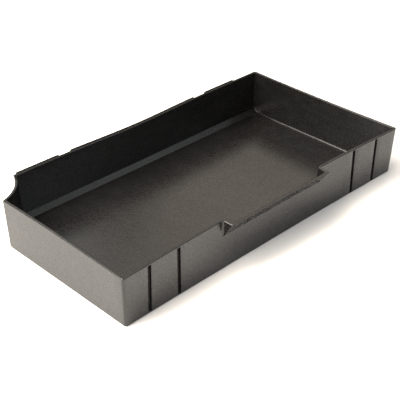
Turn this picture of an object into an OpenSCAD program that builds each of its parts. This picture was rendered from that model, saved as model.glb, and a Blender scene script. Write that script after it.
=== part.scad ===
// Open tool tray: one moulding with drafted, slightly bowed walls, a flared
// finger pull at the front, spacer pads along the back and one relieved corner.
// Units are millimetres. The origin is the middle of the overall box, on the
// face the tray rests on. +X runs along the length and +Y runs to the back.

/* [Tray] */
// Length of the tray at its base, along X
base_l = 400; // [330:1:480]
// Width of the tray at its base, along Y
base_w = 212; // [180:1:260]
// Height of the walls
tray_h = 56; // [45:1:90]
// Thickness of the walls
wall_t = 3; // [2.4:0.1:4.5]
// Thickness of the floor
floor_t = 3; // [2:0.1:5]
// Outward lean of every wall, in degrees
draft = 2.3; // [0.5:0.1:4]
// Outer radius of the upright corners
corner_r = 3; // [1.5:0.5:12]
// Radius along the outer bottom edge
foot_r = 1.6; // [0.5:0.1:3]
// Radius where the walls meet the floor inside
inner_r = 1.8; // [0.5:0.1:3]

/* [Bow of the walls] */
// Inward bow of the front wall at the rim
front_bow = 5.4; // [0:0.1:8]
// Inward bow of the front wall at the base
front_bow_low = 1.3; // [0:0.1:4]
// Inward bow of the back wall at the rim
back_bow = 4; // [0:0.1:6]
// Inward bow of the two end walls at the rim
end_bow = 1.8; // [0:0.1:4]

/* [Finger pull] */
// Width of the pull over its cheeks
pull_w = 145; // [80:1:180]
// Reach of the pull beyond the front rim
pull_out = 14.6; // [8:0.1:22]
// Height of the flared part, down from the rim
pull_drop = 18; // [10:0.5:26]
// Plan radius of the pull's outer corners
pull_r = 3; // [1:0.1:6]
// Plan radius of the pull's inner corners
pull_in_r = 5; // [1:0.1:8]
// Plan radius outside, where the front wall turns out into the pull
turn_r = 2.2; // [0.6:0.1:3]

/* [Front grooves] */
// Distance of the outer grooves from the ends of the base
groove_end = 32; // [20:0.5:40]
// Distance between the two grooves at one end
groove_pitch = 37.5; // [20:0.5:42]
// Distance of all four grooves to the left of their even places
groove_shift = 1.8; // [0:0.1:4]
// Width of a groove
groove_w = 4.3; // [2:0.1:6]
// Depth of a groove
groove_d = 2; // [1:0.1:2.2]
// Plain wall left above a groove
groove_top = 1.4; // [0.8:0.1:6]

/* [Back pads] */
// How far the pads stand out from the back wall
pad_t = 2.6; // [1:0.1:5]
// Length of the middle pad
pad_mid_l = 184; // [100:1:190]
// Distance of the middle pad's centre to the right of the tray's middle
pad_mid_x = 2; // [-4:0.5:4]
// Plain wall between the middle pad and the left pad
slot_left = 16.5; // [8:0.5:20]
// Plain wall between the middle pad and the right pad
slot_right = 20; // [8:0.5:26]
// Plain wall between the left pad and the relieved corner
pad_gap = 3.4; // [3:0.1:8]
// Plain wall between the right pad and the right corner
pad_end = 34.5; // [20:0.5:40]

/* [Relieved corner] */
// Plan radius of the hollow taken out of the back left corner
relief_r = 55; // [35:1:66]
// Distance of the hollow's axis beyond the left rim
relief_dx = 14.5; // [8:0.5:18]
// Distance of the hollow's axis beyond the back rim
relief_dy = 19; // [10:0.5:22]

/* [Back ledge] */
// Width and height of the sloped strip along the foot of the back wall
ledge = 5; // [2:0.1:8]

/* [Hidden] */
lean = tan(draft);
corner_n = 6;
relief_n = 12;
// The bow of the back wall is gathered towards the middle
back_focus = 8;
// Slight slope on the ends of pads and grooves, as a mould needs
ease = 0.4;

// Half sizes of the outer faces at height z
function half_x(z) = base_l / 2 + z * lean;
function half_y(z) = base_w / 2 + z * lean;

// Bow of each wall at height z and position t, from -1 to 1 along the wall
function front_in(z, t) =
  (front_bow_low + (front_bow - front_bow_low) * z / tray_h) * (1 - t * t);
function back_in(z, t) = back_bow * z / tray_h * pow(max(1 - t * t, 0), back_focus);
function end_in(z, t) = end_bow * z / tray_h * (1 - t * t);

// Axis of the relieved corner, and its radius at height z for an inset face
relief_x = -half_x(tray_h) - relief_dx;
relief_y = half_y(tray_h) + relief_dy;
function relief_at(z, inset) = relief_r + (tray_h - z) * lean + inset;

// Where the relieved corner meets a back face at y or a left face at x
function relief_back_x(z, inset, y) =
  relief_x + sqrt(pow(relief_at(z, inset), 2) - pow(relief_y - y, 2));
function relief_left_y(z, inset, x) =
  relief_y - sqrt(pow(relief_at(z, inset), 2) - pow(x - relief_x, 2));

// Far ends of the outer pads
pad_far_left = relief_back_x(0, 0, half_y(0)) + pad_gap;
pad_far_right = half_x(0) - corner_r - pad_end;

// Finger pull: its front edge, the height where it leaves the front wall,
// its slope, and the level width of a lip as thick as the walls
lip_y = half_y(tray_h) - front_bow + pull_out;
hinge_z = tray_h - pull_drop;
pull_slope = (lip_y - half_y(hinge_z) + front_in(hinge_z, 0)) / pull_drop;
lip_t = wall_t * sqrt(1 + pull_slope * pull_slope);
hinge_in_z = hinge_z + (lip_t - wall_t) / pull_slope;

// Distances of the grooves from the middle
groove_far = base_l / 2 - groove_end;
groove_near = groove_far - groove_pitch;

// Foot and top of the grooves
groove_z0 = foot_r + 0.4;
groove_z1 = tray_h - groove_top;

// Moves the middle of the overall box to the origin
shift_y = (lip_y - half_y(tray_h) - pad_t) / 2;

// n even steps from a to b, with a left out and b kept
function steps(a, b, n) = [for (i = [1 : n]) a + (b - a) * i / n];

// Points inside a rounded corner of radius r about [x, y], from angle a
function corner(x, y, r, a) =
  [for (i = [1 : corner_n - 1]) let (b = a + 90 * i / corner_n) [x + r * cos(b), y + r * sin(b)]];

// Stations along a wall are [x, share of a groove's depth, y on the pull].
// A third value of 1 or more stays on the wall, and what is over 1 is how far
// the station moves out where the wall turns into the pull.
function plain(xs) = [for (x = xs) [x, 0, 1]];
function square_off(v) = sign(v) * pow(abs(v), 0.4);
function groove(xg) =
  [for (a = [180 : -22.5 : 0]) [xg + groove_w / 2 * square_off(cos(a)), square_off(sin(a)), 1]];

// Left half of the pull: turn into the cheek with radius t, rounded corner
// and lip with its edge at y
function pull_half(hw, y, r, t) =
  concat(
    [for (a = [0 : 30 : 90]) [t * (sin(a) - 1) - hw, 0, 1 + t * (1 - cos(a))]],
    [for (a = [22.5 : 22.5 : 90]) [r - hw - r * cos(a), 0, y + r - r * sin(a)]],
    [for (x = steps(r - hw, 0, 4)) [x, 0, y]]
  );

// Same stations on the other side of the middle, in order of x
function mirrored(st) = [for (i = [len(st) - 1 : -1 : 0]) [-st[i][0], st[i][1], st[i][2]]];

// Stations of one half of the front wall, its grooves moved outwards by shift
function half_stations(sx, hw, y, r, t, shift) =
  let (
    far = groove_far + shift,
    near = groove_near + shift,
    w = groove_w / 2
  )
  concat(
    plain([-sx]),
    plain(steps(-sx, -far - w, 3)),
    [for (i = [1 : 8]) groove(-far)[i]],
    plain(steps(w - far, -near - w, 3)),
    [for (i = [1 : 8]) groove(-near)[i]],
    plain(steps(w - near, -pull_w / 2 - turn_r - 1, 4)),
    pull_half(hw, y, r, t)
  );

// All stations of the front wall, for a pull of half width hw
function front_stations(sx, hw, y, r, t) =
  let (
    left = half_stations(sx, hw, y, r, t, groove_shift),
    right = mirrored(half_stations(sx, hw, y, r, t, -groove_shift))
  )
  concat(left, [for (i = [1 : len(right) - 1]) right[i]]);

// Front wall at height z; cut is the share of the groove depth, and out the
// share of the pull's reach from the wall at height zh
function front_wall(z, sx, inset, hw, y, r, t, cut, out, zh) =
  [
    for (s = front_stations(sx, hw, y, r, t))
      let (
        wall = front_in(z, s[0] / sx) - half_y(z) + inset,
        hinge = front_in(zh, s[0] / sx) - half_y(zh) + inset
      )
      [
        s[0],
        s[2] < 1 && out > 0
          ? hinge + out * (s[2] - hinge)
          : wall + cut * groove_d * s[1] - min(4 * out, 1) * max(s[2] - 1, 0)
      ]
  ];

// Back wall from x = sx to the relieved corner at x = b; stand lifts the pads
function back_wall(z, y, sx, b, stand) =
  let (
    mr = pad_mid_x + pad_mid_l / 2,
    ml = pad_mid_x - pad_mid_l / 2,
    right = mr + slot_right,
    left = ml - slot_left,
    spots = concat(
      [[sx, 0], [pad_far_right + ease, 0], [pad_far_right, 1]],
      [for (x = steps(pad_far_right, right, 3)) [x, 1]],
      [[right - ease, 0], [mr + ease, 0], [mr, 1]],
      [for (x = steps(mr, ml, 16)) [x, 1]],
      [[ml - ease, 0], [left + ease, 0], [left, 1]],
      [for (x = steps(left, pad_far_left, 3)) [x, 1]],
      [[pad_far_left - ease, 0], [b, 0]]
    )
  )
  [for (s = spots) [s[0], y + s[1] * stand - back_in(z, s[0] / sx)]];

// Plan outline at height z: faces moved inwards by inset, the back by back
function outline(z, inset, back, stand, front) =
  let (
    r = max(corner_r - inset, 0.6),
    x1 = half_x(z) - inset,
    y1 = half_y(z) - back,
    sx = x1 - r,
    sf = half_y(z) - inset - r,
    sb = y1 - r,
    rr = relief_at(z, inset),
    xb = relief_back_x(z, inset, y1),
    yl = relief_left_y(z, inset, -x1),
    ab = atan2(y1 - relief_y, xb - relief_x),
    al = atan2(yl - relief_y, -x1 - relief_x)
  )
  concat(
    front,
    corner(sx, -sf, r, -90),
    [for (y = concat([-sf], steps(-sf, sb, 12))) [x1 - end_in(z, (2 * y + sf - sb) / (sf + sb)), y]],
    corner(sx, sb, r, 0),
    back_wall(z, y1, sx, xb, stand),
    [for (i = [1 : relief_n - 1])
      let (a = ab + (al - ab) * i / relief_n)
      [relief_x + rr * cos(a), relief_y + rr * sin(a)]],
    [for (y = concat([yl], steps(yl, -sf, 12))) [end_in(z, (2 * y + sf - sb) / (sf + sb)) - x1, y]],
    corner(-sx, -sf, r, 180)
  );

// Outer outline at height z
function outer(z, inset, cut, out) =
  let (sx = half_x(z) - max(corner_r, inset + 0.6))
  outline(z, inset, inset, pad_t,
    front_wall(z, sx, inset, pull_w / 2, -lip_y, pull_r, turn_r, cut, out, hinge_z));

// Inner outline at height z, with the sloped strip at the foot of the back
function inner(z, inset, out) =
  let (
    sx = half_x(z) - max(corner_r, inset + 0.6),
    hw = pull_w / 2 - wall_t,
    t = turn_r + 0.9 * wall_t
  )
  outline(z, inset, max(inset, wall_t + floor_t + ledge - z), 0,
    front_wall(z, sx, inset, hw, lip_t - lip_y, pull_in_r, t, 0, out, hinge_in_z));

// Share of the pull's reach at height z
function reach(z) = max(z - hinge_z, 0) / pull_drop;

// Solid through a list of plan outlines, each given with its height
module loft(rings) {
  n = len(rings[0][1]);
  m = len(rings);
  pts = [for (g = rings) for (p = g[1]) [p[0], p[1], g[0]]];
  sides = [
    for (k = [0 : m - 2]) for (i = [0 : n - 1])
      let (j = (i + 1) % n, a = k * n, b = (k + 1) * n)
      each [[a + i, b + i, b + j], [a + i, b + j, a + j]]
  ];
  low = [for (i = [0 : n - 1]) i];
  high = [for (i = [n - 1 : -1 : 0]) (m - 1) * n + i];
  polyhedron(points = pts, faces = concat([low, high], sides), convexity = 6);
}

// The whole moulding: up the outside, over the rim and down the inside
module tray() {
  up = [
    for (a = [0 : 30 : 90])
      let (z = foot_r * (1 - cos(a)), inset = foot_r * (1 - sin(a)))
      [z, outer(z, inset, 0, 0)]
  ];
  grooved = [
    for (g = [[groove_z0, 0], [groove_z0 + ease, 1], [hinge_z, 1], [groove_z1 - ease, 1], [groove_z1, 0]])
      [g[0], outer(g[0], 0, g[1], reach(g[0]))]
  ];
  rim = [[tray_h, outer(tray_h, 0, 0, 1)], [tray_h, inner(tray_h, wall_t, 1)]];
  down = [for (z = [hinge_in_z, floor_t + ledge]) [z, inner(z, wall_t, 0)]];
  foot = [
    for (a = [90 : -30 : 0])
      let (z = floor_t + inner_r * (1 - cos(a)), inset = wall_t + inner_r * (1 - sin(a)))
      [z, inner(z, inset, 0)]
  ];
  color([0.1, 0.098, 0.095])
    translate([0, shift_y, 0])
      loft(concat(up, grooved, rim, down, foot));
}

tray();
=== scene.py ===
"""Open tool tray moulded in one piece, laid out as an add-on.

Each operator makes one part of the scene from the sizes and finishes in the
property groups. All lengths are in metres and sit in the frame of the solid
model: +X along the tray, +Y from the finger pull to the back, +Z up.
"""

import math

import bmesh
import bpy
from bpy.props import FloatProperty, FloatVectorProperty, PointerProperty
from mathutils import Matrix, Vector


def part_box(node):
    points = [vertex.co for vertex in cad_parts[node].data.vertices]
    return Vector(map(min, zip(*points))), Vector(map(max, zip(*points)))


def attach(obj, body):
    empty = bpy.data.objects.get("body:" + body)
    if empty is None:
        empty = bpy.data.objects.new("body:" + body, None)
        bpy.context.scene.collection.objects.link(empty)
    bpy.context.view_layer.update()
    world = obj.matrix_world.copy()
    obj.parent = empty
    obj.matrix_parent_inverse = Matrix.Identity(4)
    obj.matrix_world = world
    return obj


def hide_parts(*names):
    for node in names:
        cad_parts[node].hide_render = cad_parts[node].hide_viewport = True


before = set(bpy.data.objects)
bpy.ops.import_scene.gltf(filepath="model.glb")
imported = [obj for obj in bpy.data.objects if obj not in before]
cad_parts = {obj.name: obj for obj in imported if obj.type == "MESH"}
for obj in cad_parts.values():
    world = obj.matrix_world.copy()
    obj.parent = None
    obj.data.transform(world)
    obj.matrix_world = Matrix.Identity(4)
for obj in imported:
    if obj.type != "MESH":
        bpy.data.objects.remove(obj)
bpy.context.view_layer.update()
TRAY_LOW, TRAY_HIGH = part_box("tray")

bl_info = {
    "name": "Moulded tool tray",
    "version": (1, 0, 0),
    "blender": (4, 5, 0),
    "location": "3D View > Sidebar > Tool Tray",
    "description": "Builds an open moulded tool tray, its finish and a plain studio",
    "category": "Object",
}


# ---------------------------------------------------------------- properties


class TraySizes(bpy.types.PropertyGroup):
    """Sizes of the moulding. Its overall box comes from the solid model."""

    draft: FloatProperty(
        name="Draft", description="Outward lean of every wall",
        default=math.radians(2.3), subtype="ANGLE",
    )
    wall: FloatProperty(
        name="Wall", description="Thickness of the walls", default=0.003, unit="LENGTH",
    )
    floor: FloatProperty(
        name="Floor", description="Thickness of the floor", default=0.003, unit="LENGTH",
    )
    corner: FloatProperty(
        name="Corner radius", description="Outer radius of the upright corners",
        default=0.003, unit="LENGTH",
    )
    foot: FloatProperty(
        name="Foot radius", description="Radius along the outer bottom edge",
        default=0.0016, unit="LENGTH",
    )
    inner_foot: FloatProperty(
        name="Inner foot radius", description="Radius where walls and floor meet inside",
        default=0.0018, unit="LENGTH",
    )
    edge: FloatProperty(
        name="Rim edge radius", description="Radius worn along both edges of the rim",
        default=0.0008, unit="LENGTH",
    )
    front_bow: FloatProperty(
        name="Front bow", description="Inward bow of the front wall at the rim",
        default=0.0054, unit="LENGTH",
    )
    front_bow_low: FloatProperty(
        name="Front bow at foot", description="Inward bow of the front wall at the base",
        default=0.0013, unit="LENGTH",
    )
    back_bow: FloatProperty(
        name="Back bow", description="Inward bow of the back wall at the rim",
        default=0.004, unit="LENGTH",
    )
    end_bow: FloatProperty(
        name="End bow", description="Inward bow of the end walls at the rim",
        default=0.0018, unit="LENGTH",
    )
    pull_width: FloatProperty(
        name="Pull width", description="Width of the finger pull over its cheeks",
        default=0.145, unit="LENGTH",
    )
    pull_out: FloatProperty(
        name="Pull reach", description="Reach of the pull beyond the front rim",
        default=0.0146, unit="LENGTH",
    )
    pull_drop: FloatProperty(
        name="Pull height", description="Height of the flared part, down from the rim",
        default=0.018, unit="LENGTH",
    )
    pull_corner: FloatProperty(
        name="Pull corner", description="Plan radius of the pull's outer corners",
        default=0.003, unit="LENGTH",
    )
    pull_inner_corner: FloatProperty(
        name="Pull inner corner", description="Plan radius of the pull's inner corners",
        default=0.005, unit="LENGTH",
    )
    turn: FloatProperty(
        name="Pull turn", description="Plan radius outside, where the wall turns into the pull",
        default=0.0022, unit="LENGTH",
    )
    groove_near: FloatProperty(
        name="Inner grooves", description="Distance of the inner grooves from the middle",
        default=0.1305, unit="LENGTH",
    )
    groove_far: FloatProperty(
        name="Outer grooves", description="Distance of the outer grooves from the middle",
        default=0.168, unit="LENGTH",
    )
    groove_shift: FloatProperty(
        name="Groove shift", description="Distance of the grooves left of their even places",
        default=0.0018, unit="LENGTH",
    )
    groove_width: FloatProperty(
        name="Groove width", description="Width of a groove", default=0.0043, unit="LENGTH",
    )
    groove_depth: FloatProperty(
        name="Groove depth", description="Depth of a groove", default=0.002, unit="LENGTH",
    )
    groove_top: FloatProperty(
        name="Above grooves", description="Plain wall left above a groove",
        default=0.0014, unit="LENGTH",
    )
    pad: FloatProperty(
        name="Pad thickness", description="How far the back pads stand out",
        default=0.0026, unit="LENGTH",
    )
    pad_middle: FloatProperty(
        name="Middle pad", description="Length of the middle pad", default=0.184, unit="LENGTH",
    )
    pad_offset: FloatProperty(
        name="Middle pad offset", description="Middle pad's centre to the right of the middle",
        default=0.002, unit="LENGTH",
    )
    slot_left: FloatProperty(
        name="Left gap", description="Plain wall between middle and left pads",
        default=0.0165, unit="LENGTH",
    )
    slot_right: FloatProperty(
        name="Right gap", description="Plain wall between middle and right pads",
        default=0.02, unit="LENGTH",
    )
    pad_end: FloatProperty(
        name="End gap", description="Plain wall between right pad and right corner",
        default=0.0345, unit="LENGTH",
    )
    pad_gap: FloatProperty(
        name="Corner gap", description="Plain wall between left pad and relieved corner",
        default=0.0034, unit="LENGTH",
    )
    relief: FloatProperty(
        name="Relief radius", description="Plan radius of the relieved back corner",
        default=0.055, unit="LENGTH",
    )
    relief_dx: FloatProperty(
        name="Relief past end", description="Relief axis beyond the left rim",
        default=0.0145, unit="LENGTH",
    )
    relief_dy: FloatProperty(
        name="Relief past back", description="Relief axis beyond the back rim",
        default=0.019, unit="LENGTH",
    )
    ledge: FloatProperty(
        name="Back ledge", description="Width and height of the strip along the back",
        default=0.005, unit="LENGTH",
    )


class PlasticFinish(bpy.types.PropertyGroup):
    """Finish of the moulded plastic."""

    colour: FloatVectorProperty(
        name="Colour", description="Body colour of the plastic", subtype="COLOR",
        size=3, min=0, max=1, default=(0.005, 0.0048, 0.0046),
    )
    flow_colour: FloatVectorProperty(
        name="Flow mark colour", description="Colour of the paler flow marks", subtype="COLOR",
        size=3, min=0, max=1, default=(0.0075, 0.0073, 0.007),
    )
    rough: FloatProperty(
        name="Roughness", description="Roughness of the moulded skin",
        default=0.25, min=0, max=1, subtype="FACTOR",
    )
    grain: FloatProperty(
        name="Grain size", description="Size of the moulded grain", default=0.002, unit="LENGTH",
    )
    grain_depth: FloatProperty(
        name="Grain depth", description="Depth of the moulded grain",
        default=0.00009, unit="LENGTH",
    )
    mottle: FloatProperty(
        name="Mottle", description="How far the roughness varies from spot to spot",
        default=0.08, min=0, max=0.2, subtype="FACTOR",
    )
    mottle_size: FloatProperty(
        name="Mottle size", description="Size of the smoother and rougher spots",
        default=0.0021, unit="LENGTH",
    )
    flow_size: FloatProperty(
        name="Flow mark size", description="Size of the flow marks",
        default=0.012, unit="LENGTH",
    )
    sheen: FloatProperty(
        name="Sheen", description="Specular level of the moulded skin",
        default=0.5, min=0, max=1, subtype="FACTOR",
    )
    # Painted shade: the grooves and the back rim keep only this share of the sheen, so they read
    # dark as if shaded.
    painted_shade: FloatProperty(
        name="Dull faces", description="Share of the sheen left in the grooves and on the back rim",
        default=0.12, min=0, max=1, subtype="FACTOR",
    )


class StudioSetup(bpy.types.PropertyGroup):
    """Floor, light and camera of the studio."""

    floor_colour: FloatVectorProperty(
        name="Floor colour", description="Colour of the plain floor", subtype="COLOR",
        size=3, min=0, max=1, default=(0.9, 0.9, 0.9),
    )
    floor_radius: FloatProperty(
        name="Floor radius", description="Radius of the plain floor", default=6, unit="LENGTH",
    )
    ambient: FloatProperty(
        name="Ambient", description="Strength of the even light all round", default=0.03, min=0,
    )
    main_power: FloatProperty(
        name="Main power", description="Power of the main softboxes",
        default=25, min=0, unit="POWER",
    )
    box_distance: FloatProperty(
        name="Softbox distance", description="Distance of every softbox from the tray",
        default=1.5, unit="LENGTH",
    )
    box_width: FloatProperty(
        name="Softbox width", description="Width of every softbox", default=1, unit="LENGTH",
    )
    box_height: FloatProperty(
        name="Softbox height", description="Height of every softbox", default=0.8, unit="LENGTH",
    )
    focal: FloatProperty(
        name="Focal length", description="Focal length of the camera in millimetres",
        default=85.06, unit="CAMERA",
    )
    camera_place: FloatVectorProperty(
        name="Camera place", description="Place of the camera", subtype="TRANSLATION",
        size=3, default=(-0.6164, -0.6206, 0.5498),
    )
    camera_turn: FloatProperty(
        name="Camera turn", description="Bearing of the camera from the front, towards +X",
        default=math.radians(-44.58), subtype="ANGLE",
    )
    camera_tilt: FloatProperty(
        name="Camera tilt", description="How far the camera looks down",
        default=math.radians(32.03), subtype="ANGLE",
    )


# ------------------------------------------------------------------- geometry

# Across a groove: place in half widths from its middle, and share of its depth.
GROOVE_SHARES = (
    (-1.2, 0.0), (-1.08, 0.03), (-1.0, 0.14), (-0.96, 0.4), (-0.9, 0.75), (-0.78, 0.94),
    (-0.55, 1.0), (0.55, 1.0), (0.78, 0.94), (0.9, 0.75), (0.96, 0.4), (1.0, 0.14),
    (1.08, 0.03), (1.2, 0.0),
)
GROOVE_REACH = 1.2
# Along a groove from either end: distance, and share of its depth.
GROOVE_ENDS = ((0.0, 0.0), (0.0004, 0.45), (0.001, 0.85), (0.0016, 1.0))
GROOVE_ABOVE_FOOT = 0.0004
# Past the end of a pad: distance, and share of its thickness.
STEP_SHARES = ((0.0004, 0.0), (0.00022, 0.06), (0.00015, 0.5), (0.00008, 0.94), (-0.0001, 1.0))
# Heights of the plain wall's outlines, and heights next to the pull's hinge line.
LOW_LEVEL = 0.012
MID_LEVEL = 0.024
HINGE_LEVELS = (-0.0006, 0.0, 0.0012, 0.005)
LEDGE_ROOM = 0.0008
LEVEL_SLACK = 1e-7

CORNER_STEPS = 8
RELIEF_STEPS = 24
END_STEPS = 16
MIN_RADIUS = 0.0006
# The bow of the back wall is gathered towards the middle.
BACK_FOCUS = 8
# Plain wall before the pull, and how the inner turn widens with the inset.
PULL_CLEAR = 0.001
TURN_GAIN = 0.9
# The cheek stands out to the full this many times sooner than the lip.
CHEEK_RATE = 4
# Where the painted shade starts: share of a groove's depth, and depth of the back rim. There a
# duller copy of the plastic, with less sheen, stands in for the shade in the grooves and on the
# back rim.
PAINTED_SHADE_FROM = 0.3
BACK_RIM_SHADE_DEPTH = 0.012
RIM_SLACK = 1e-5
SHARP_ANGLE = math.radians(32)


def spread(a, b, n):
    """n even steps from a to b, with a left out and b kept."""
    return [a + (b - a) * i / n for i in range(1, n + 1)]


def arc(cx, cy, r, start, n):
    """Points inside a quarter circle, without its two ends."""
    turn = [math.radians(start + 90 * i / n) for i in range(1, n)]
    return [(cx + r * math.cos(a), cy + r * math.sin(a)) for a in turn]


class TrayForm:
    """Plan outlines of the tray at any height, in the frame of the model."""

    def __init__(self, s, low, high):
        self.s = s
        self.lean = math.tan(s.draft)
        self.height = high.z - low.z
        self.rim_x = high.x
        self.lip_y = -low.y
        self.rim_y = high.y - s.pad
        # The box is centred, so the walls' own middle lies off the origin.
        front_rim_y = self.lip_y + s.front_bow - s.pull_out
        self.mid_y = (self.rim_y - front_rim_y) / 2
        self.half_rim = (self.rim_y + front_rim_y) / 2
        self.lip = self.lip_y + self.mid_y
        self.hinge = self.height - s.pull_drop
        run = self.lip - self.half_y(self.hinge) + self.front_in(self.hinge, 0)
        self.slope = run / s.pull_drop
        self.lip_wall = s.wall * math.hypot(1, self.slope)
        self.hinge_in = self.hinge + (self.lip_wall - s.wall) / self.slope
        self.relief_x = -self.rim_x - s.relief_dx
        self.relief_y = self.half_rim + s.relief_dy
        self.pad_far_left = self.relief_back(0, 0, self.half_y(0)) + s.pad_gap
        self.pad_far_right = self.half_x(0) - s.corner - s.pad_end

    def half_x(self, z):
        return self.rim_x - (self.height - z) * self.lean

    def half_y(self, z):
        return self.half_rim - (self.height - z) * self.lean

    def front_in(self, z, t):
        s = self.s
        return (s.front_bow_low + (s.front_bow - s.front_bow_low) * z / self.height) * (1 - t * t)

    def back_in(self, z, t):
        return self.s.back_bow * z / self.height * max(1 - t * t, 0) ** BACK_FOCUS

    def end_in(self, z, t):
        return self.s.end_bow * z / self.height * (1 - t * t)

    def relief_at(self, z, inset):
        return self.s.relief + (self.height - z) * self.lean + inset

    def relief_back(self, z, inset, y):
        r = self.relief_at(z, inset)
        return self.relief_x + math.sqrt(r * r - (self.relief_y - y) ** 2)

    def relief_left(self, z, inset, x):
        r = self.relief_at(z, inset)
        return self.relief_y - math.sqrt(r * r - (x - self.relief_x) ** 2)

    def half_stations(self, sx, inset, shift):
        """Stations of the wall's left half: x, share of groove depth, place on the pull.

        The grooves are moved outwards by shift. The last value is None on the
        plain wall, and otherwise ("turn", distance out) or ("lip", y).
        """
        s = self.s
        far, near = s.groove_far + shift, s.groove_near + shift
        k = self.lip_wall / s.wall
        hw = s.pull_width / 2 - inset
        y = -self.lip + inset * k
        r = s.pull_corner + (s.pull_inner_corner - s.pull_corner) * inset / s.wall
        gw = s.groove_width / 2
        reach = GROOVE_REACH * gw
        left = [(-sx, 0, None)]
        left += [(x, 0, None) for x in spread(-sx, -far - reach, 4)[:-1]]
        left += [(-far + gw * u, d, None) for u, d in GROOVE_SHARES]
        left += [(x, 0, None) for x in spread(-far + reach, -near - reach, 4)[:-1]]
        left += [(-near + gw * u, d, None) for u, d in GROOVE_SHARES]
        end = -s.pull_width / 2 - s.turn - PULL_CLEAR
        left += [(x, 0, None) for x in spread(-near + reach, end, 6)]
        # The wall turns out into the cheek through a small hollow radius.
        turn = s.turn + TURN_GAIN * inset
        for a in (math.radians(d) for d in (0, 30, 60, 90)):
            left.append((turn * math.sin(a) - hw - turn, 0, ("turn", turn * (1 - math.cos(a)))))
        for a in (math.radians(d) for d in (18, 36, 54, 72, 90)):
            left.append((r - hw - r * math.cos(a), 0, ("lip", y + r - r * math.sin(a))))
        left += [(x, 0, ("lip", y)) for x in spread(r - hw, 0, 6)]
        return left

    def front_stations(self, sx, inset):
        """Stations of the whole front wall, from left to right."""
        left = self.half_stations(sx, inset, self.s.groove_shift)
        right = self.half_stations(sx, inset, -self.s.groove_shift)
        return left + [(-x, d, p) for x, d, p in reversed(right[:-1])]

    def front_wall(self, z, sx, inset, cut, out, hinge):
        """Points of the front wall at height z, each with its share of groove depth."""
        s = self.s
        points = []
        for x, share, pull in self.front_stations(sx, inset):
            wall = self.front_in(z, x / sx) - self.half_y(z) + inset
            y = wall + cut * s.groove_depth * share
            if pull and out > 0:
                base = self.front_in(hinge, x / sx) - self.half_y(hinge) + inset
                if pull[0] == "lip":
                    y = base + out * (pull[1] - base)
                else:
                    grow = min(out * CHEEK_RATE, 1) if inset < s.wall / 2 else out
                    y = wall - grow * pull[1]
            points.append((x, y, cut * share))
        return points

    def back_wall(self, z, y, sx, b, stand):
        """Points of the back wall from x = sx to the relieved corner at x = b."""
        s = self.s
        mr, ml = s.pad_offset + s.pad_middle / 2, s.pad_offset - s.pad_middle / 2
        pads = (
            (self.pad_far_right, mr + s.slot_right, 4),
            (mr, ml, 24),
            (ml - s.slot_left, self.pad_far_left, 4),
        )
        spots = [(sx, 0)]
        for start, end, count in pads:
            spots += [(start + e, c) for e, c in STEP_SHARES]
            spots += [(x, 1) for x in spread(start, end, count)[:-1]]
            spots += [(end - e, c) for e, c in reversed(STEP_SHARES)]
        spots += [(b, 0)]
        return [(x, y + c * stand - self.back_in(z, x / sx)) for x, c in spots]

    def outline(self, z, inset, back, stand, cut=0.0, out=0.0, hinge=0.0):
        """Closed plan outline at height z: points and how deep each is in a groove."""
        s = self.s
        r = max(s.corner - inset, MIN_RADIUS)
        x1, y1 = self.half_x(z) - inset, self.half_y(z) - back
        sx = x1 - r
        sf, sb = self.half_y(z) - inset - r, y1 - r
        rr = self.relief_at(z, inset)
        xb = self.relief_back(z, inset, y1)
        yl = self.relief_left(z, inset, -x1)
        ab = math.atan2(y1 - self.relief_y, xb - self.relief_x)
        al = math.atan2(yl - self.relief_y, -x1 - self.relief_x)

        def end_t(y):
            return (2 * y + sf - sb) / (sf + sb)

        pts = self.front_wall(z, sx, inset, cut, out, hinge)
        # The groove shares kept with each point mark where shade is painted with the duller
        # plastic.
        painted_shade = [share for x, y, share in pts]
        pts = [(x, y) for x, y, share in pts]
        pts += arc(sx, -sf, r, -90, CORNER_STEPS)
        pts += [(x1 - self.end_in(z, end_t(y)), y) for y in [-sf] + spread(-sf, sb, END_STEPS)]
        pts += arc(sx, sb, r, 0, CORNER_STEPS)
        pts += self.back_wall(z, y1, sx, xb, stand)
        for i in range(1, RELIEF_STEPS):
            a = ab + (al - ab) * i / RELIEF_STEPS
            pts.append((self.relief_x + rr * math.cos(a), self.relief_y + rr * math.sin(a)))
        pts += [(self.end_in(z, end_t(y)) - x1, y) for y in [yl] + spread(yl, -sf, END_STEPS)]
        pts += arc(-sx, -sf, r, 180, CORNER_STEPS)
        painted_shade += [0.0] * (len(pts) - len(painted_shade))
        return [(Vector((x, y + self.mid_y, z)), d) for (x, y), d in zip(pts, painted_shade)]

    def rings(self):
        """Outlines up the outside, over the rim and down the inside."""
        s, h, e = self.s, self.height, self.s.edge
        g0, g1 = s.foot + GROOVE_ABOVE_FOOT, h - s.groove_top
        rows = []

        def outer(z, inset=0.0):
            cut = 0.0
            for dist, share in GROOVE_ENDS:
                if g0 + dist - LEVEL_SLACK <= z <= g1 - dist + LEVEL_SLACK:
                    cut = share
            out = max(z - self.hinge, 0) / s.pull_drop
            rows.append(self.outline(z, inset, inset, s.pad, cut, out, self.hinge))

        def inner(z, inset=s.wall):
            back = max(inset, s.wall + s.floor + s.ledge - z)
            out = max(z - self.hinge_in, 0) / (h - self.hinge_in)
            rows.append(self.outline(z, inset, back, 0, 0, out, self.hinge_in))

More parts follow.
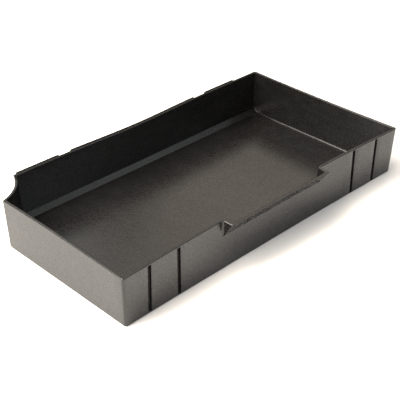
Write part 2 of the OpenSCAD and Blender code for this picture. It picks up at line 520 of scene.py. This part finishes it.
        for a in range(0, 91, 18):
            a = math.radians(a)
            outer(s.foot * (1 - math.cos(a)), s.foot * (1 - math.sin(a)))
        levels = [g0 + dist for dist, share in GROOVE_ENDS] + [LOW_LEVEL, MID_LEVEL]
        levels += [self.hinge + dist for dist in HINGE_LEVELS] + [(self.hinge + h) / 2]
        levels += [g1 - dist for dist, share in reversed(GROOVE_ENDS)]
        for z in levels:
            outer(z)
        for a in range(0, 91, 18):
            a = math.radians(a)
            outer(h - e + e * math.sin(a), e * (1 - math.cos(a)))
        for a in range(90, -1, -18):
            a = math.radians(a)
            inner(h - e + e * math.sin(a), s.wall - e * (1 - math.cos(a)))
        top = s.floor + s.ledge
        levels = [(self.hinge_in + h) / 2]
        levels += [self.hinge_in + dist for dist in reversed(HINGE_LEVELS)]
        for z in levels + [MID_LEVEL, top + LEDGE_ROOM, top]:
            inner(z)
        f = s.inner_foot
        for a in range(90, -1, -15):
            a = math.radians(a)
            inner(s.floor + f * (1 - math.cos(a)), s.wall + f * (1 - math.sin(a)))
        return rows


def loft(name, rows):
    """Closed mesh object through outlines with equal numbers of points.

    Faces in the grooves and on the flat of the back rim take the second material, a duller copy of
    the plastic that paints shade there.
    """
    bm = bmesh.new()
    rings = [[bm.verts.new(p) for p, painted_shade in row] for row in rows]
    n = len(rings[0])
    for k, (a, b) in enumerate(zip(rings, rings[1:])):
        for i in range(n):
            j = (i + 1) % n
            face = bm.faces.new((a[i], a[j], b[j], b[i]))
            # Painted shade: groove faces and the flat of the back rim get the duller plastic, which
            # stands in for their shade.
            depth = (rows[k][i][1] + rows[k][j][1] + rows[k + 1][i][1] + rows[k + 1][j][1]) / 4
            low = min(a[i].co.z, b[i].co.z)
            flat_top = low > TRAY_HIGH.z - RIM_SLACK
            back_rim_shade = flat_top and a[i].co.y > TRAY_HIGH.y - BACK_RIM_SHADE_DEPTH
            face.material_index = int(depth > PAINTED_SHADE_FROM or back_rim_shade)
    ends = [bm.faces.new(list(reversed(rings[0]))), bm.faces.new(rings[-1])]
    bmesh.ops.recalc_face_normals(bm, faces=bm.faces)
    for face in bm.faces:
        face.smooth = True
    for face in ends:
        face.smooth = False
    for edge in bm.edges:
        if len(edge.link_faces) == 2 and edge.calc_face_angle() > SHARP_ANGLE:
            edge.smooth = False
    bmesh.ops.triangulate(bm, faces=ends)
    mesh = bpy.data.meshes.new(name)
    bm.to_mesh(mesh)
    bm.free()
    piece = bpy.data.objects.new(name, mesh)
    bpy.context.scene.collection.objects.link(piece)
    return piece


# ------------------------------------------------------------------ materials


class Nodes:
    """Small helper that adds and links shader nodes."""

    def __init__(self, tree):
        self.tree = tree

    def add(self, kind, **values):
        node = self.tree.nodes.new(kind)
        for key, value in values.items():
            setattr(node, key, value)
        return node

    def link(self, a, b):
        self.tree.links.new(a, b)


def socket(tree, name, kind, way, value=None):
    """Named socket on a shader node group."""
    item = tree.interface.new_socket(name=name, in_out=way, socket_type=kind)
    if value is not None:
        item.default_value = value
    return item


def moulded_skin():
    """Node group for moulded plastic skin: grain height, rough spots and flow marks."""
    tree = bpy.data.node_groups.new("moulded_skin", "ShaderNodeTree")
    socket(tree, "Grain Size", "NodeSocketFloat", "INPUT", 0.002)
    socket(tree, "Mottle Size", "NodeSocketFloat", "INPUT", 0.002)
    socket(tree, "Flow Size", "NodeSocketFloat", "INPUT", 0.012)
    socket(tree, "Grain", "NodeSocketFloat", "OUTPUT")
    socket(tree, "Mottle", "NodeSocketFloat", "OUTPUT")
    socket(tree, "Flow", "NodeSocketFloat", "OUTPUT")
    n = Nodes(tree)
    sizes = n.add("NodeGroupInput")
    gout = n.add("NodeGroupOutput")
    place = n.add("ShaderNodeTexCoord")

    def noise(size, vector, detail, roughness):
        """Noise whose spots have the size on the named group input."""
        scale = n.add("ShaderNodeMath", operation="DIVIDE")
        scale.inputs[0].default_value = 1.0
        n.link(sizes.outputs[size], scale.inputs[1])
        texture = n.add("ShaderNodeTexNoise")
        texture.inputs["Detail"].default_value = detail
        texture.inputs["Roughness"].default_value = roughness
        n.link(vector, texture.inputs["Vector"])
        n.link(scale.outputs[0], texture.inputs["Scale"])
        return texture.outputs["Fac"]

    n.link(noise("Grain Size", place.outputs["Object"], 3.0, 0.6), gout.inputs["Grain"])
    n.link(noise("Mottle Size", place.outputs["Object"], 2.0, 0.6), gout.inputs["Mottle"])

    # Flow marks are drawn out along the walls.
    drawn = n.add("ShaderNodeMapping", vector_type="POINT")
    drawn.inputs["Scale"].default_value = (0.6, 0.6, 1.4)
    n.link(place.outputs["Object"], drawn.inputs["Vector"])
    shape = n.add("ShaderNodeMapRange", interpolation_type="SMOOTHSTEP")
    shape.inputs["From Min"].default_value = 0.35
    shape.inputs["From Max"].default_value = 0.7
    n.link(noise("Flow Size", drawn.outputs["Vector"], 5.0, 0.62), shape.inputs["Value"])
    n.link(shape.outputs["Result"], gout.inputs["Flow"])
    return tree


def dark_plastic(name, moulded, f, sheen_level):
    """Dark grained plastic with faint flow marks, at a given level of sheen.

    moulded is the node group of the moulded skin.
    """
    mat = bpy.data.materials.new(name)
    mat.use_nodes = True
    tree = mat.node_tree
    tree.nodes.clear()
    n = Nodes(tree)
    out = n.add("ShaderNodeOutputMaterial")
    skin = n.add("ShaderNodeBsdfPrincipled")
    n.link(skin.outputs[0], out.inputs[0])
    group = n.add("ShaderNodeGroup", node_tree=moulded)
    group.inputs["Grain Size"].default_value = f.grain
    group.inputs["Mottle Size"].default_value = f.mottle_size
    group.inputs["Flow Size"].default_value = f.flow_size

    colour = n.add("ShaderNodeMix", data_type="RGBA")
    colour.inputs["A"].default_value = (*f.colour, 1)
    colour.inputs["B"].default_value = (*f.flow_colour, 1)
    n.link(group.outputs["Flow"], colour.inputs["Factor"])
    n.link(colour.outputs["Result"], skin.inputs["Base Color"])

    rough = n.add("ShaderNodeMapRange")
    rough.inputs["From Min"].default_value = 0.3
    rough.inputs["From Max"].default_value = 0.7
    rough.inputs["To Min"].default_value = f.rough - f.mottle
    rough.inputs["To Max"].default_value = f.rough + f.mottle
    n.link(group.outputs["Mottle"], rough.inputs["Value"])
    n.link(rough.outputs["Result"], skin.inputs["Roughness"])

    bump = n.add("ShaderNodeBump")
    bump.inputs["Distance"].default_value = f.grain_depth
    n.link(group.outputs["Grain"], bump.inputs["Height"])
    n.link(bump.outputs["Normal"], skin.inputs["Normal"])
    skin.inputs["Specular IOR Level"].default_value = sheen_level
    skin.inputs["IOR"].default_value = 1.5
    return mat


def plain_floor(colour):
    """Plain matte floor."""
    mat = bpy.data.materials.new("studio_floor")
    mat.use_nodes = True
    tree = mat.node_tree
    skin = tree.nodes["Principled BSDF"]
    skin.inputs["Base Color"].default_value = (*colour, 1)
    skin.inputs["Roughness"].default_value = 0.9
    skin.inputs["Specular IOR Level"].default_value = 0.1
    return mat


# --------------------------------------------------------------------- studio


def studio_floor(setup):
    """Round plain floor under the tray."""
    bm = bmesh.new()
    bmesh.ops.create_circle(bm, cap_ends=True, segments=64, radius=setup.floor_radius)
    mesh = bpy.data.meshes.new("studio_floor")
    bm.to_mesh(mesh)
    bm.free()
    floor = bpy.data.objects.new("studio_floor", mesh)
    bpy.context.scene.collection.objects.link(floor)
    mesh.materials.append(plain_floor(setup.floor_colour))
    return floor


def even_light(setup):
    """World with weak white light from all round."""
    world = bpy.data.worlds.new("studio")
    world.use_nodes = True
    back = world.node_tree.nodes["Background"]
    back.inputs["Color"].default_value = (1, 1, 1, 1)
    back.inputs["Strength"].default_value = setup.ambient
    return world


def towards(turn, tilt):
    """Direction at a bearing from the back towards +X, and a height above the floor."""
    level = math.cos(tilt)
    return Vector((math.sin(turn) * level, math.cos(turn) * level, math.sin(tilt)))


def studio_camera(setup):
    """Camera at its named place, looking down towards the tray."""
    lens = bpy.data.cameras.new("camera")
    lens.lens = setup.focal
    lens.sensor_width = 36
    camera = bpy.data.objects.new("camera", lens)
    camera.location = setup.camera_place
    # The camera's turn is counted from the front, so it is mirrored in Y.
    away = towards(setup.camera_turn, setup.camera_tilt)
    away.y = -away.y
    camera.rotation_mode = "QUATERNION"
    camera.rotation_quaternion = (-away).to_track_quat("-Z", "Y")
    bpy.context.scene.collection.objects.link(camera)
    return camera


def softbox(setup, name, turn, tilt, share, colour):
    """Rectangular soft light at a bearing from the tray's middle, facing it.

    turn is measured from the back, towards +X, and tilt from the floor.
    """
    data = bpy.data.lights.new(name, "AREA")
    data.shape = "RECTANGLE"
    data.size, data.size_y = setup.box_width, setup.box_height
    data.energy = setup.main_power * share
    data.color = colour
    place = towards(math.radians(turn), math.radians(tilt)) * setup.box_distance
    light = bpy.data.objects.new(name, data)
    light.location = place
    light.rotation_mode = "QUATERNION"
    light.rotation_quaternion = (-place).to_track_quat("-Z", "Y")
    bpy.context.scene.collection.objects.link(light)


WARM = (1.0, 0.88, 0.76)
PLAIN = (1.0, 0.98, 0.92)
COOL = (0.94, 0.98, 1.0)

# Name, bearing and height in degrees, share of the main light's power, and tint.
SOFTBOXES = (
    ("left", -90, 45, 1.0, WARM),
    ("left_low", -80, 20, 1.0, PLAIN),
    ("back_left", -55, 55, 1.0, PLAIN),
    ("overhead", -30, 70, 0.8, WARM),
    ("back", 10, 45, 0.15, PLAIN),
    ("back_right", 60, 40, 0.15, WARM),
    ("front", 170, 20, 0.4, COOL),
    ("front_right", 140, 40, 0.1, COOL),
)


# ------------------------------------------------------------------ operators


class TRAY_OT_body(bpy.types.Operator):
    """Make the tray's moulding with its rounded edges and its plastic finish"""

    bl_idname = "tray.body"
    bl_label = "Tray body"

    def execute(self, context):
        form = TrayForm(context.scene.tray_sizes, TRAY_LOW, TRAY_HIGH)
        piece = loft("tray_moulding", form.rings())
        f = context.scene.tray_finish
        moulded = moulded_skin()
        # The second copy, with less sheen, paints shade in the grooves and on the back rim.
        for name, sheen_level in (
            ("dark_moulded_plastic", f.sheen),
            ("painted_shade_plastic", f.sheen * f.painted_shade),
        ):
            piece.data.materials.append(dark_plastic(name, moulded, f, sheen_level))
        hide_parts("tray")
        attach(piece, "root")
        return {"FINISHED"}


class TRAY_OT_studio(bpy.types.Operator):
    """Make the plain floor, the soft lights and the camera"""

    bl_idname = "tray.studio"
    bl_label = "Studio"

    def execute(self, context):
        scene = context.scene
        setup = scene.tray_studio
        floor = studio_floor(setup)
        scene.world = even_light(setup)
        for spec in SOFTBOXES:
            softbox(setup, *spec)
        scene.camera = studio_camera(setup)
        scene.view_settings.view_transform = "Standard"
        return {"FINISHED"}


class TRAY_PT_panel(bpy.types.Panel):
    """Buttons and sizes for the tool tray"""

    bl_idname = "TRAY_PT_panel"
    bl_label = "Tool Tray"
    bl_space_type = "VIEW_3D"
    bl_region_type = "UI"
    bl_category = "Tool Tray"

    def draw(self, context):
        column = self.layout.column()
        for operator in (TRAY_OT_studio, TRAY_OT_body):
            column.operator(operator.bl_idname)
        for group in ("tray_sizes", "tray_finish", "tray_studio"):
            props = getattr(context.scene, group)
            for key in props.__annotations__:
                column.prop(props, key)


CLASSES = (TraySizes, PlasticFinish, StudioSetup, TRAY_OT_body, TRAY_OT_studio, TRAY_PT_panel)


def register():
    for cls in CLASSES:
        bpy.utils.register_class(cls)
    bpy.types.Scene.tray_sizes = PointerProperty(type=TraySizes)
    bpy.types.Scene.tray_finish = PointerProperty(type=PlasticFinish)
    bpy.types.Scene.tray_studio = PointerProperty(type=StudioSetup)


def unregister():
    del bpy.types.Scene.tray_studio
    del bpy.types.Scene.tray_finish
    del bpy.types.Scene.tray_sizes
    for cls in reversed(CLASSES):
        bpy.utils.unregister_class(cls)


def main():
    register()
    bpy.ops.tray.studio()
    bpy.ops.tray.body()


if __name__ == "__main__":
    main()
